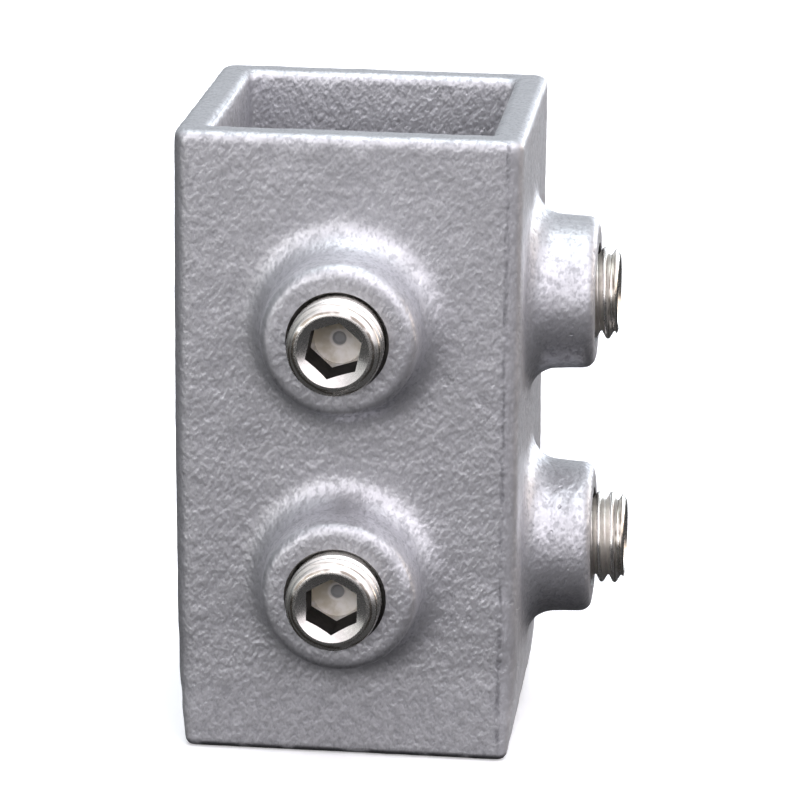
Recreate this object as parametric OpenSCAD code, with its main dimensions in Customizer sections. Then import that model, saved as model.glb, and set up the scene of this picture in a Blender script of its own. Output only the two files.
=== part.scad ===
// Inline clamp coupling for square tube: a cast sleeve, open at both ends, with two
// screw bosses on the front face and two on the side face. Each boss carries a
// hexagon-socket set screw that clamps the tube inside.
// +Z runs along the tube. The origin is on the tube's axis, in the plane of the lower end.
// The front bosses point along -Y and the side bosses along +X.

/* [Tube and socket] */
// Width across the flats of the square tube that is joined
tube_w = 40; // [36:0.5:50]
// Clearance between the tube and each wall of the socket
tube_gap = 0.75; // [0.4:0.05:1]
// Chamfer round both mouths of the socket
mouth_chamfer = 0.8; // [0.2:0.1:1.2]

/* [Sleeve] */
// Thickness of the sleeve's wall
wall = 5; // [4:0.5:7]
// Length of the sleeve along the tube
sleeve_l = 96; // [84:1:140]
// Radius of the four upright outer corners
corner_r = 2.4; // [2:0.1:3.5]
// Rounding of the outer edge at the upper end
rim_r = 1.2; // [0.5:0.1:1.8]
// Length of the slight lead at the lower end
lead_l = 12; // [8:0.5:14]
// How far each outer face leans in over the lead
lead_in = 1.2; // [0.5:0.1:1.5]

/* [Bosses] */
// Distance between the axes of the two bosses on one face
boss_spacing = 39; // [34:1:50]
// Height of a boss above its face
boss_h = 10; // [8:0.5:14]
// Diameter of a boss above its foot
boss_d = 23.6; // [21:0.2:26]
// Draft angle of a boss's side
boss_draft = 2; // [0:0.5:4]
// Radius of the hollow fillet at a boss's foot
foot_r = 4.2; // [2:0.1:4.5]
// Rounding of a boss's outer edge
boss_rim_r = 1.8; // [0.8:0.1:2]
// Diameter of the countersink at the mouth of a screw hole
countersink_d = 15.5; // [15:0.1:17]
// Depth of that countersink
countersink_depth = 1.2; // [0.5:0.1:2]

/* [Set screws] */
// Diameter over the thread
thread_d = 14; // [12:0.5:14.5]
// Distance from one thread crest to the next
thread_pitch = 2; // [1.5:0.25:2.5]
// Radial clearance of the thread in its hole
thread_gap = 0.05; // [0.02:0.01:0.1]
// Length of a set screw
screw_l = 16; // [15:1:20]
// Width across the flats of the hexagon socket
hex_af = 7.5; // [6:0.5:8]
// Depth of the hexagon socket
hex_depth = 7.2; // [5:0.2:8]
// Width of the ledge that the pilot drilling leaves inside the hexagon's flats
pilot_ledge = 0.1; // [0.05:0.05:0.3]
// Depth of the pilot drilling beyond the hexagon, down to its cone
pilot_depth = 0.4; // [0.2:0.1:2]
// Diameter of the dished face round the hexagon
dish_d = 10.6; // [9.8:0.1:11.2]
// Radius of the round shoulder between the dished face and the thread
shoulder_r = 1.7; // [0.8:0.1:1.8]
// Diameter of the cup at the clamping end
cup_d = 8; // [6:0.5:9]
// Depth of that cup
cup_depth = 1.6; // [1:0.1:2]
// Length of the bevel at the clamping end
tip_bevel = 1.6; // [1:0.1:2]

/* [Screw settings] */
// How far the upper front screw stands out of its boss
front_upper_stand = 5.2; // [2:0.1:6]
// How far the lower front screw stands out of its boss
front_lower_stand = 4.8; // [2:0.1:6]
// How far the upper side screw stands out of its boss
side_upper_stand = 3.3; // [2:0.1:6]
// How far the lower side screw stands out of its boss
side_lower_stand = 5.3; // [2:0.1:6]
// Turn of the upper front screw's hexagon about its axis
front_upper_turn = 18; // [0:1:60]
// Turn of the lower front screw's hexagon about its axis
front_lower_turn = 30; // [0:1:60]
// Turn of the upper side screw's hexagon about its axis
side_upper_turn = 54; // [0:1:60]
// Turn of the lower side screw's hexagon about its axis
side_lower_turn = 35; // [0:1:60]

/* [Hidden] */
$fn = 96;
// Extra length by which a cut passes beyond the solid that it cuts
over = 1;
socket_w = tube_w + 2 * tube_gap;
sleeve_w = socket_w + 2 * wall;
// Distance of an upright corner's centre from the sleeve's middle planes
corner_c = sleeve_w / 2 - corner_r;
// The lower edge is one round that touches both the leaning faces and the end plane
lead_angle = atan(lead_in / lead_l);
end_r = (corner_r - lead_in) * cos(lead_angle) / (1 - sin(lead_angle));
// Height and half width at which the lower round runs into the leaning faces
lead_z = end_r * (1 - sin(lead_angle));
lead_half = corner_c + end_r * cos(lead_angle);
upper_z = (sleeve_l + boss_spacing) / 2;
lower_z = (sleeve_l - boss_spacing) / 2;
hole_d = thread_d + 2 * thread_gap;
// A boss's body is carried on into the wall by this much
boss_root = wall / 2;
// Turns about Z that bring the front face's layout to each face that has bosses
front = 0;
side = 90;
boss_places = [for (turn = [front, side], z = [upper_z, lower_z]) [turn, z]];
// A thread with a sixty degree groove
groove_half = thread_pitch * 7 / 16;
root_half = thread_pitch / 8;
groove_depth = (groove_half - root_half) / tan(30);
// Included angle of the pilot drill's cone is 120 degrees
pilot_d = hex_af - 2 * pilot_ledge;
cone_depth = pilot_d / 2 * tan(30);

// Places its children on the face at the given turn, with +Z pointing out of the face.
module on_face(turn, z) {
    rotate([0, 0, turn])
        translate([0, -sleeve_w / 2, z])
            rotate([90, 0, 0])
                children();
}

// Square with side w, rounded at its corners by radius r.
module rounded_square(w, r) {
    square([w, w - 2 * r], center = true);
    square([w - 2 * r, w], center = true);
    for (x = [-1, 1], y = [-1, 1])
        translate([x, y] * (w / 2 - r)) circle(r);
}

// Four level rods of radius r at height z, with their ends at the corner centres.
module edge_rods(c, z, r) {
    for (turn = [0 : 90 : 270])
        rotate([0, 0, turn])
            translate([-corner_c, c, z])
                rotate([0, 90, 0])
                    cylinder(h = 2 * corner_c, r = r);
}

// Repeats its children at the four upright corners.
module at_corners() {
    for (x = [-1, 1], y = [-1, 1])
        translate([x * corner_c, y * corner_c, 0]) children();
}

// The straight part of the sleeve, with its rounded upper edge.
module upper_block() {
    translate([0, 0, lead_l])
        linear_extrude(height = sleeve_l - rim_r - lead_l)
            rounded_square(sleeve_w, corner_r);
    translate([0, 0, lead_l])
        linear_extrude(height = sleeve_l - lead_l)
            rounded_square(sleeve_w - 2 * rim_r, corner_r - rim_r);
    edge_rods(sleeve_w / 2 - rim_r, sleeve_l - rim_r, rim_r);
    at_corners()
        translate([0, 0, sleeve_l - rim_r])
            rotate_extrude() translate([corner_r - rim_r, 0]) circle(rim_r);
}

// The lower end, whose faces lean in: flat sides, cones at the corners and a round edge.
module lower_block() {
    for (turn = [0, 90])
        rotate([90, 0, turn])
            linear_extrude(height = 2 * corner_c, center = true)
                polygon([
                    [-lead_half, lead_z], [-corner_c, 0], [corner_c, 0], [lead_half, lead_z],
                    [sleeve_w / 2, lead_l], [-sleeve_w / 2, lead_l]
                ]);
    at_corners() {
        translate([0, 0, lead_z])
            cylinder(h = lead_l - lead_z, r1 = lead_half - corner_c, r2 = corner_r);
        translate([0, 0, end_r]) sphere(end_r);
    }
    edge_rods(corner_c, end_r, end_r);
}

// Half section of a boss, from its root in the wall to its rounded outer edge.
module boss_section() {
    foot_reach = boss_d / 2 + foot_r;
    rim_y = boss_h - boss_rim_r;
    lean = (boss_h - foot_r) * tan(boss_draft);
    face_rad = boss_d / 2 - lean;
    translate([0, -boss_root]) square([foot_reach, boss_root]);
    difference() {
        square([foot_reach, foot_r]);
        translate([foot_reach, foot_r]) circle(foot_r);
    }
    polygon([[0, 0], [boss_d / 2, foot_r], [face_rad, rim_y], [0, rim_y]]);
    square([face_rad - boss_rim_r, boss_h]);
    translate([face_rad - boss_rim_r, rim_y]) intersection() {
        circle(boss_rim_r);
        square(boss_rim_r);
    }
}

// A tapped hole through a boss and the wall behind it.
module screw_hole() {
    translate([0, 0, -wall - over])
        cylinder(h = wall + boss_h + 2 * over, d = hole_d);
    widening = (countersink_d - hole_d) / 2;
    translate([0, 0, boss_h - countersink_depth])
        rotate_extrude()
            polygon([
                [0, 0], [hole_d / 2, 0], [countersink_d / 2, countersink_depth],
                [countersink_d / 2 + widening, 2 * countersink_depth], [0, 2 * countersink_depth]
            ]);
}

// The square way through for the tube, wider at both mouths.
module socket() {
    translate([0, 0, sleeve_l / 2])
        cube([socket_w, socket_w, sleeve_l + 2 * over], center = true);
    mouth(0, 1);
    mouth(sleeve_l, -1);
}

// Chamfer of the mouth at height z; way is 1 if the socket lies above it and -1 if below.
module mouth(z, way) {
    near = socket_w / 2 + mouth_chamfer;
    intersection_for (turn = [0, 90])
        translate([0, 0, z])
            rotate([90, 0, turn])
                linear_extrude(height = 2 * sleeve_w, center = true)
                    polygon([
                        [-near - over, -over * way], [near + over, -over * way],
                        [socket_w / 2 - over, (mouth_chamfer + over) * way],
                        [over - socket_w / 2, (mouth_chamfer + over) * way]
                    ]);
}

module cast_sleeve() {
    color("lightslategray")
        difference() {
            union() {
                upper_block();
                lower_block();
                for (place = boss_places)
                    on_face(place[0], place[1]) rotate_extrude() boss_section();
            }
            socket();
            for (place = boss_places)
                on_face(place[0], place[1]) screw_hole();
        }
}

// Half section of a set screw. Its outer end is at height 0 and its clamping end below.
module screw_section() {
    major = thread_d / 2;
    shoulder = min(shoulder_r, major - dish_d / 2);
    difference() {
        union() {
            translate([0, -screw_l + tip_bevel]) square([major, screw_l - tip_bevel - shoulder]);
            translate([0, -shoulder]) square([major - shoulder, shoulder]);
            translate([major - shoulder, -shoulder]) circle(shoulder);
            polygon([
                [0, -screw_l], [major - tip_bevel, -screw_l],
                [major, tip_bevel - screw_l], [0, tip_bevel - screw_l]
            ]);
        }
        thread_grooves(major);
        dish_drop = dish_d / 2 * tan(30);
        polygon([[0, -dish_drop], [dish_d / 2 + over, over * tan(30)], [0, over * tan(30)]]);
        polygon([
            [0, -screw_l + cup_depth], [cup_d / 2 + over, -screw_l - over * cup_depth / (cup_d / 2)],
            [0, -screw_l - over]
        ]);
    }
}

// Ring grooves that stand for the turns of the thread, one pitch apart.
module thread_grooves(major) {
    count = floor((screw_l - tip_bevel / 2) / thread_pitch);
    for (i = [1 : count])
        translate([major, -i * thread_pitch + thread_pitch / 4])
            polygon([
                [over, -groove_half - over * tan(30)], [over, groove_half + over * tan(30)],
                [-groove_depth, root_half], [-groove_depth, -root_half]
            ]);
}

// Hexagon socket with its pilot drilling and cone, down from height 0.
module hex_socket(turn) {
    translate([0, 0, -hex_depth])
        rotate([0, 0, turn])
            cylinder(h = hex_depth + over, d = hex_af / cos(30), $fn = 6);
    translate([0, 0, -hex_depth - pilot_depth])
        rotate_extrude()
            polygon([
                [0, -cone_depth], [pilot_d / 2, 0], [pilot_d / 2, pilot_depth + over],
                [0, pilot_depth + over]
            ]);
}

// A set screw in a boss, standing out of it by stand.
module set_screw(face_turn, z, stand, turn) {
    color("silver")
        on_face(face_turn, z)
            translate([0, 0, boss_h + stand])
                difference() {
                    rotate_extrude() screw_section();
                    hex_socket(turn);
                }
}

module front_upper_set_screw() {
    set_screw(front, upper_z, front_upper_stand, front_upper_turn);
}

module front_lower_set_screw() {
    set_screw(front, lower_z, front_lower_stand, front_lower_turn);
}

module side_upper_set_screw() {
    set_screw(side, upper_z, side_upper_stand, side_upper_turn);
}

module side_lower_set_screw() {
    set_screw(side, lower_z, side_lower_stand, side_lower_turn);
}

cast_sleeve();
front_upper_set_screw();
front_lower_set_screw();
side_upper_set_screw();
side_lower_set_screw();
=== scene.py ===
"""Dresses a square tube clamp coupling: a galvanised cast sleeve and its four set screws.

Lengths are in metres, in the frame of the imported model: +Z runs along the tube, the front
bosses point along -Y and the side bosses along +X. A screw and the hole that it runs in are
modelled on a bench frame of their own, with the screw's axis along +Z and its outer end at
height 0, and are then placed on the sleeve. A Span says where a mark or a share starts and
where it is full.
"""

from __future__ import annotations

import logging
import math
from dataclasses import dataclass, field
from enum import Enum
from typing import Callable, Sequence

import bpy
from mathutils import Matrix, Vector


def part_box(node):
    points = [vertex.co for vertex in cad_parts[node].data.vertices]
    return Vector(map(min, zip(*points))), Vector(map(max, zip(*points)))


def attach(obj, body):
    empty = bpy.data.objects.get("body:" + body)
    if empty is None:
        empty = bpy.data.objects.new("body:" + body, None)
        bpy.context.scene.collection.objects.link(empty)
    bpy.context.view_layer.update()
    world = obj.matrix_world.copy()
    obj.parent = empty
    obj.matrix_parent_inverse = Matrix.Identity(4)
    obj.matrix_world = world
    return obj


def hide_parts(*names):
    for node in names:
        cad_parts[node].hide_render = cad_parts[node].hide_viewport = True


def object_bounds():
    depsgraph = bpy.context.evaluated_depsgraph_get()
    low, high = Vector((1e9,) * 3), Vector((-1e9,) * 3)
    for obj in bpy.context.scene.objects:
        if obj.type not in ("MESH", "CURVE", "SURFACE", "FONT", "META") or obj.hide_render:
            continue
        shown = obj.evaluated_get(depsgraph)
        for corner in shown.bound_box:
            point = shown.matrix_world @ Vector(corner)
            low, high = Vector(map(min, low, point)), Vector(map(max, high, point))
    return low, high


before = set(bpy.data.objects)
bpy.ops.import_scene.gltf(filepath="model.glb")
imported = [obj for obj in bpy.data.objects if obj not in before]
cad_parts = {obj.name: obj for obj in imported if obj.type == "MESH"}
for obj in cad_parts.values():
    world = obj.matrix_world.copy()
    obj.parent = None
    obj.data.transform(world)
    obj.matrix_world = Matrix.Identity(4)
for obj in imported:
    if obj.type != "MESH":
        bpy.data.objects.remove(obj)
CAD_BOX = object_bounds()

LOG = logging.getLogger("coupling")
MM = 0.001
WELD = 0.001 * MM
ROUND_STEPS = 96
UP = "Z"

SLEEVE_NODE = "cast_sleeve"
SLEEVE_HALF = -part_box(SLEEVE_NODE)[0].x
WALL = 5.0 * MM

Span = tuple[float, float]
Triple = tuple[float, float, float]
Colour = tuple[float, float, float, float]
Outline = list[Span]
Piece = bpy.types.Object
Socket = bpy.types.NodeSocket


class Face(Enum):
    """A face of the sleeve that carries bosses, by its turn about Z from the front face."""

    FRONT = 0.0
    SIDE = math.pi / 2

    def turn(self) -> Matrix:
        """Turns bench space so that its +Z points out of this face and its +Y points up."""
        return Matrix.Rotation(self.value, 4, UP) @ Matrix.Rotation(math.pi / 2, 4, "X")


def bearing(azimuth: float, elevation: float) -> Vector:
    """The unit vector to a bearing in degrees. Azimuth 0 is in front and 90 to the right."""
    turn, rise = math.radians(azimuth), math.radians(elevation)
    return Vector((math.sin(turn) * math.cos(rise), -math.cos(turn) * math.cos(rise),
                   math.sin(rise)))


class Workbench:
    """The modelling moves that the pieces share."""

    @staticmethod
    def clear() -> None:
        """Goes back to object mode and deselects everything."""
        active = bpy.context.view_layer.objects.active
        if active is not None and active.mode != "OBJECT":
            bpy.ops.object.mode_set(mode="OBJECT")
        bpy.ops.object.select_all(action="DESELECT")

    @classmethod
    def pick(cls, *pieces: Piece) -> None:
        """Selects these pieces alone and makes the first one active.

        Args:
            *pieces: the pieces to select.
        """
        cls.clear()
        for piece in pieces:
            piece.select_set(True)
        bpy.context.view_layer.objects.active = pieces[0]

    @classmethod
    def edit(cls, piece: Piece) -> None:
        """Opens a piece in edit mode, in vertex mode, with all of it selected.

        Args:
            piece: the piece to open.
        """
        cls.pick(piece)
        bpy.ops.object.mode_set(mode="EDIT")
        bpy.ops.mesh.select_mode(type="VERT")
        bpy.ops.mesh.select_all(action="SELECT")

    @classmethod
    def copy(cls, source: Piece, name: str) -> Piece:
        """Copies a piece with a mesh of its own.

        Args:
            source: the piece to copy.
            name: the copy's name.

        Returns:
            The copy, which rides on nothing and stands for no node.
        """
        piece = bpy.data.objects.new(name, source.data.copy())
        piece.data.name = name
        bpy.context.scene.collection.objects.link(piece)
        return piece

    @classmethod
    def place(cls, piece: Piece, where: Matrix) -> Piece:
        """Carries a piece to its place and leaves its object at the origin.

        Args:
            piece: the piece to carry.
            where: the move from the piece's own space.

        Returns:
            The same piece.
        """
        piece.matrix_world = where
        cls.pick(piece)
        bpy.ops.object.transform_apply(location=True, rotation=True, scale=True)
        return piece

    @classmethod
    def join(cls, name: str, *pieces: Piece) -> Piece:
        """Joins pieces into the first of them, under a new name.

        Args:
            name: the new name.
            *pieces: two or more pieces, which are used up.

        Returns:
            The first piece, which now holds them all.
        """
        cls.pick(*pieces)
        bpy.ops.object.join()
        pieces[0].name = name
        return pieces[0]

    @classmethod
    def modify(cls, piece: Piece, kind: str, **settings: object) -> None:
        """Adds a modifier, sets it up and applies it.

        Args:
            piece: the piece to change.
            kind: Blender's name for the modifier's type.
            **settings: the modifier's own properties.
        """
        cls.pick(piece)
        modifier = piece.modifiers.new(kind.lower(), kind)
        for key, value in settings.items():
            setattr(modifier, key, value)
        bpy.ops.object.modifier_apply(modifier=modifier.name)

    @classmethod
    def combine(cls, piece: Piece, operation: str, other: Piece) -> None:
        """Cuts, joins or crosses a piece with another one, which is used up.

        Args:
            piece: the closed piece to change.
            operation: DIFFERENCE, UNION or INTERSECT.
            other: the closed piece to work with. Its faces keep their material.
        """
        cls.modify(piece, "BOOLEAN", operation=operation, object=other, solver="EXACT",
                   material_mode="TRANSFER")
        bpy.data.objects.remove(other)

    @classmethod
    def tidy(cls, piece: Piece) -> None:
        """Merges doubled points and turns every face outwards.

        Args:
            piece: the piece to tidy.
        """
        cls.edit(piece)
        bpy.ops.mesh.remove_doubles(threshold=WELD)
        bpy.ops.mesh.normals_make_consistent(inside=False)
        bpy.ops.object.mode_set(mode="OBJECT")

    @classmethod
    def line(cls, name: str, outline: Outline) -> Piece:
        """Draws an open line through (radius, height) points, in the plane where Y is 0.

        Args:
            name: the line's name.
            outline: the points, in order.

        Returns:
            The line.
        """
        cls.clear()
        bpy.ops.mesh.primitive_plane_add(size=MM, enter_editmode=True)
        piece = bpy.context.object
        piece.name = name
        bpy.ops.mesh.merge(type="CENTER")
        radius, height = outline[0]
        bpy.ops.transform.translate(value=(radius, 0.0, height))
        for (r0, h0), (r1, h1) in zip(outline, outline[1:]):
            bpy.ops.mesh.extrude_vertices_move(
                TRANSFORM_OT_translate={"value": (r1 - r0, 0.0, h1 - h0)}
            )
        bpy.ops.object.mode_set(mode="OBJECT")
        return piece

    @classmethod
    def turned(cls, name: str, outline: Outline) -> Piece:
        """Turns an outline about Z into a closed solid.

        Args:
            name: the piece's name.
            outline: (radius, height) points, the first and the last of them on the axis.

        Returns:
            The turned piece.
        """
        piece = cls.line(name, outline)
        cls.edit(piece)
        bpy.ops.mesh.spin(steps=ROUND_STEPS, angle=math.tau, center=(0, 0, 0), axis=(0, 0, 1))
        bpy.ops.object.mode_set(mode="OBJECT")
        cls.tidy(piece)
        return piece

    @classmethod
    def crease(cls, piece: Piece, degrees: float) -> None:
        """Shades a piece smooth, but for edges sharper than this angle."""
        cls.pick(piece)
        bpy.ops.object.shade_smooth_by_angle(angle=math.radians(degrees))


class NodeBench:
    """Places and wires the nodes of one material, world or node group."""

    def __init__(self, tree: bpy.types.NodeTree) -> None:
        """Starts on a cleared tree."""
        self.tree = tree
        tree.nodes.clear()

    def add(self, kind: str, inputs: dict | None = None, **settings: object) -> bpy.types.Node:
        """Adds a node.

        Args:
            kind: the node's type, without its ShaderNode prefix.
            inputs: for an input's name or index, its value or the socket that feeds it.
            **settings: the node's own properties.

        Returns:
            The new node.
        """
        name = kind if kind.startswith("NodeGroup") else "ShaderNode" + kind
        node = self.tree.nodes.new(name)
        node.location = (200 * (len(self.tree.nodes) % 8), -260 * (len(self.tree.nodes) // 8))
        for key, value in settings.items():
            setattr(node, key, value)
        for key, value in (inputs or {}).items():
            self.feed(node.inputs[key], value)
        return node

    def feed(self, target: Socket, value: object) -> None:
        """Wires a socket into an input, or sets the input to a plain value.

        Args:
            target: the input.
            value: the socket or the plain value.
        """
        if isinstance(value, bpy.types.NodeSocket):
            self.tree.links.new(value, target)
        else:
            target.default_value = value

    def sum(self, terms: Sequence[tuple[Socket, Socket | float]]) -> Socket:
        """Adds up sockets, each times its own weight.

        Args:
            terms: the sockets with their weights.

        Returns:
            The sum's socket.
        """
        total: Socket | float = 0.0
        for socket, weight in terms:
            node = self.add("Math", {0: socket, 1: weight, 2: total}, operation="MULTIPLY_ADD")
            total = node.outputs[0]
        return total

    def math(self, operation: str, *values: Socket | float) -> Socket:
        """Works one step of arithmetic on up to three values."""
        return self.add("Math", dict(enumerate(values)), operation=operation).outputs[0]

    def times(self, *factors: Socket | float) -> Socket:
        """Multiplies values, from the left.

        Args:
            *factors: two or more values.

        Returns:
            The product's socket.
        """
        product = factors[0]
        for factor in factors[1:]:
            product = self.math("MULTIPLY", product, factor)
        return product

    def vector(self, operation: str, *values: object) -> Socket:
        """Works one step of vector arithmetic that gives a vector."""
        return self.add("VectorMath", dict(enumerate(values)), operation=operation).outputs[0]

    def scaled(self, vector: object, factor: Socket | float) -> Socket:
        """Multiplies a vector by a value."""
        return self.add("VectorMath", {0: vector, 3: factor}, operation="SCALE").outputs[0]

    def axis(self, vector: Socket, label: str) -> Socket:
        """Takes one coordinate out of a vector."""
        return self.add("SeparateXYZ", {0: vector}).outputs[label]

    def radius(self, place: Socket) -> Socket:
        """Measures a place's distance from the Z axis."""
        flat = self.vector("MULTIPLY", place, (1.0, 1.0, 0.0))
        return self.add("VectorMath", {0: flat}, operation="LENGTH").outputs["Value"]

    def step(self, value: Socket, low: float, high: float) -> Socket:
        """Eases from 0 to 1 as a value goes from low to high."""
        node = self.add("MapRange", {0: value, 1: low, 2: high}, interpolation_type="SMOOTHSTEP")
        return node.outputs[0]

    def slide(self, mask: Socket, start: float, end: float) -> Socket:
        """Goes evenly from start to end as a mask goes from 0 to 1."""
        return self.add("MapRange", {0: mask, 3: start, 4: end}).outputs[0]

    def blend(self, mask: Socket, first: Socket | Colour, second: Socket | Colour) -> Socket:
        """Blends from the first colour to the second as a mask goes from 0 to 1."""
        node = self.add("Mix", {0: mask, 6: first, 7: second}, data_type="RGBA")
        return node.outputs[2]

    def noise(self, vector: Socket, scale: float, detail: float = 2.0,
              roughness: float = 0.5) -> Socket:
        """Adds a noise texture and gives its value."""
        node = self.add("TexNoise", {"Vector": vector, "Scale": scale, "Detail": detail,
                                     "Roughness": roughness})
        return node.outputs[0]

    def surface(self, colour: Socket, metal: float, roughness: Socket | float,
                height: Socket, depth: float, shine: float = 0.5) -> bpy.types.Node:
        """Adds a surface shader with a bump of its own.

        Args:
            colour: the base colour.
            metal: how metallic the surface is.
            roughness: how rough it is.
            height: the bump's height, in depths.
            depth: the bump's depth, in metres.
            shine: how much a surface that isn't metallic mirrors.

        Returns:
            The shader node.
        """
        bump = self.add("Bump", {"Height": height, "Strength": 1.0, "Distance": depth})
        return self.add("BsdfPrincipled", {"Base Color": colour, "Metallic": metal,
                                           "Roughness": roughness, "Specular IOR Level": shine,
                                           "Normal": bump.outputs[0]})


class Effect:
    """A node group that several finishes use, built once and placed with its own values."""

    name = ""
    takes: dict[str, str] = {}
    gives: dict[str, str] = {}

    def wire(self, bench: NodeBench, source: bpy.types.Node) -> dict[str, Socket]:
        """Lays the group's nodes between its inputs and what it gives.

        Args:
            bench: the group's bench.
            source: the group's input node.

        Returns:
            For each output's name, the socket that feeds it.
        """
        raise NotImplementedError

    def group(self) -> bpy.types.NodeTree:
        """Builds the node group, or finds it if it is there already.

        Returns:
            The node group.
        """
        tree = bpy.data.node_groups.get(self.name)
        if tree is not None:
            return tree
        tree = bpy.data.node_groups.new(self.name, "ShaderNodeTree")
        for label, kind in self.takes.items():
            tree.interface.new_socket(label, in_out="INPUT", socket_type="NodeSocket" + kind)
        for label, kind in self.gives.items():
            tree.interface.new_socket(label, in_out="OUTPUT", socket_type="NodeSocket" + kind)
        bench = NodeBench(tree)
        source = bench.add("NodeGroupInput")
        bench.add("NodeGroupOutput", self.wire(bench, source))
        return tree

    def put(self, bench: NodeBench, **values: object) -> bpy.types.Node:
        """Places the group in a material.

        Args:
            bench: the material's bench.
            **values: for each of the group's inputs, its value or the socket that feeds it.

        Returns:
            The group's node.
        """
        node = bench.add("Group", node_tree=self.group())
        for label, value in values.items():
            bench.feed(node.inputs[label], value)
        return node


class CastGrain(Effect):
    """The grain of a sand casting: small pebbles and flecks, over a soft swell."""

    name = "cast_grain"
    takes = {"Vector": "Vector", "Lean": "Vector", "Cell": "Vector"}
    gives = {"Height": "Float", "Hollow": "Float"}

    def wire(self, bench: NodeBench, source: bpy.types.Node) -> dict[str, Socket]:
        """Layers three sizes of noise in leaning, stretched cells, and marks the low spots.

        Args:
            bench: the group's bench.
            source: the group's input node.

        Returns:
            The grain's height, and a mask of its low spots.
        """
        cells = bench.add("Mapping", {"Vector": source.outputs["Vector"],
                                      "Rotation": source.outputs["Lean"],
                                      "Scale": source.outputs["Cell"]}, vector_type="TEXTURE")
        vector = cells.outputs[0]
        pebbles = bench.noise(vector, 1.0, 1.0)
        crumbs = bench.noise(vector, 2.1, 1.0)
        swell = bench.noise(vector, 0.2, 1.0)
        height = bench.sum([(pebbles, 0.55), (crumbs, 0.14), (swell, 0.18)])
        flecks = bench.sum([(pebbles, 0.55), (crumbs, 0.45)])
        return {"Height": height, "Hollow": bench.step(flecks, 0.53, 0.37)}


class Mottle(Effect):
    """Soft patches of two sizes, for a coating or a metal that isn't quite even."""

    name = "mottle"
    takes = {"Vector": "Vector", "Density": "Float"}
    gives = {"Mask": "Float"}

    def wire(self, bench: NodeBench, source: bpy.types.Node) -> dict[str, Socket]:
        """Mixes a coarse and a fine noise and spreads the result from 0 to 1.

        Args:
            bench: the group's bench.
            source: the group's input node.

        Returns:
            The patches' mask.
        """
        packed = bench.scaled(source.outputs["Vector"], source.outputs["Density"])
        coarse = bench.noise(packed, 1.0, 3.0, 0.6)
        fine = bench.noise(packed, 6.0)
        mixed = bench.sum([(coarse, 0.7), (fine, 0.3)])
        return {"Mask": bench.step(mixed, 0.36, 0.64)}


class ToolMarks(Effect):
    """Rings that a turning tool leaves round an axis, with uneven spacing and depth."""

    name = "tool_marks"
    takes = {"Vector": "Vector", "Density": "Float"}
    gives = {"Height": "Float"}

    def wire(self, bench: NodeBench, source: bpy.types.Node) -> dict[str, Socket]:
        """Reads noise by radius and height alone, so that it runs in rings.

        Args:
            bench: the group's bench.
            source: the group's input node.

        Returns:
            The rings' height.
        """
        place = source.outputs["Vector"]
        profile = bench.add("CombineXYZ", {0: bench.radius(place), 1: bench.axis(place, "Z")})
        packed = bench.scaled(profile.outputs[0], source.outputs["Density"])
        return {"Height": bench.noise(packed, 1.0, 3.0, 0.7)}


class Finish:
    """Something that dresses a surface: its material is made once, under its own name."""

    name = ""

    def dress(self, bench: NodeBench) -> bpy.types.Node:
        """Lays the finish's nodes and gives its shader node.

        Args:
            bench: the material's bench.

        Returns:
            The shader node.
        """
        raise NotImplementedError

    def material(self) -> bpy.types.Material:
        """Builds the material, or finds it if it is there already.

        Returns:
            The material.
        """
        made = bpy.data.materials.get(self.name)
        if made is not None:
            return made
        made = bpy.data.materials.new(self.name)
        made.use_nodes = True
        bench = NodeBench(made.node_tree)
        shader = self.dress(bench)
        bench.add("OutputMaterial", {"Surface": shader.outputs[0]})
        return made

    def coat(self, piece: Piece) -> None:
        """Makes this the piece's only material."""
        piece.data.materials.clear()
        piece.data.materials.append(self.material())


class ScrewFinish(Finish):
    """A finish that follows a screw as it turns and moves, by the place on the bench.

    Its radii and heights are in millimetres on the bench, and its densities per millimetre.
    """

    place_name = "bench_place"

    def place(self, bench: NodeBench) -> Socket:
        """Reads the place on the bench, in millimetres."""
        return bench.add("Attribute", attribute_name=self.place_name).outputs["Vector"]


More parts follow.
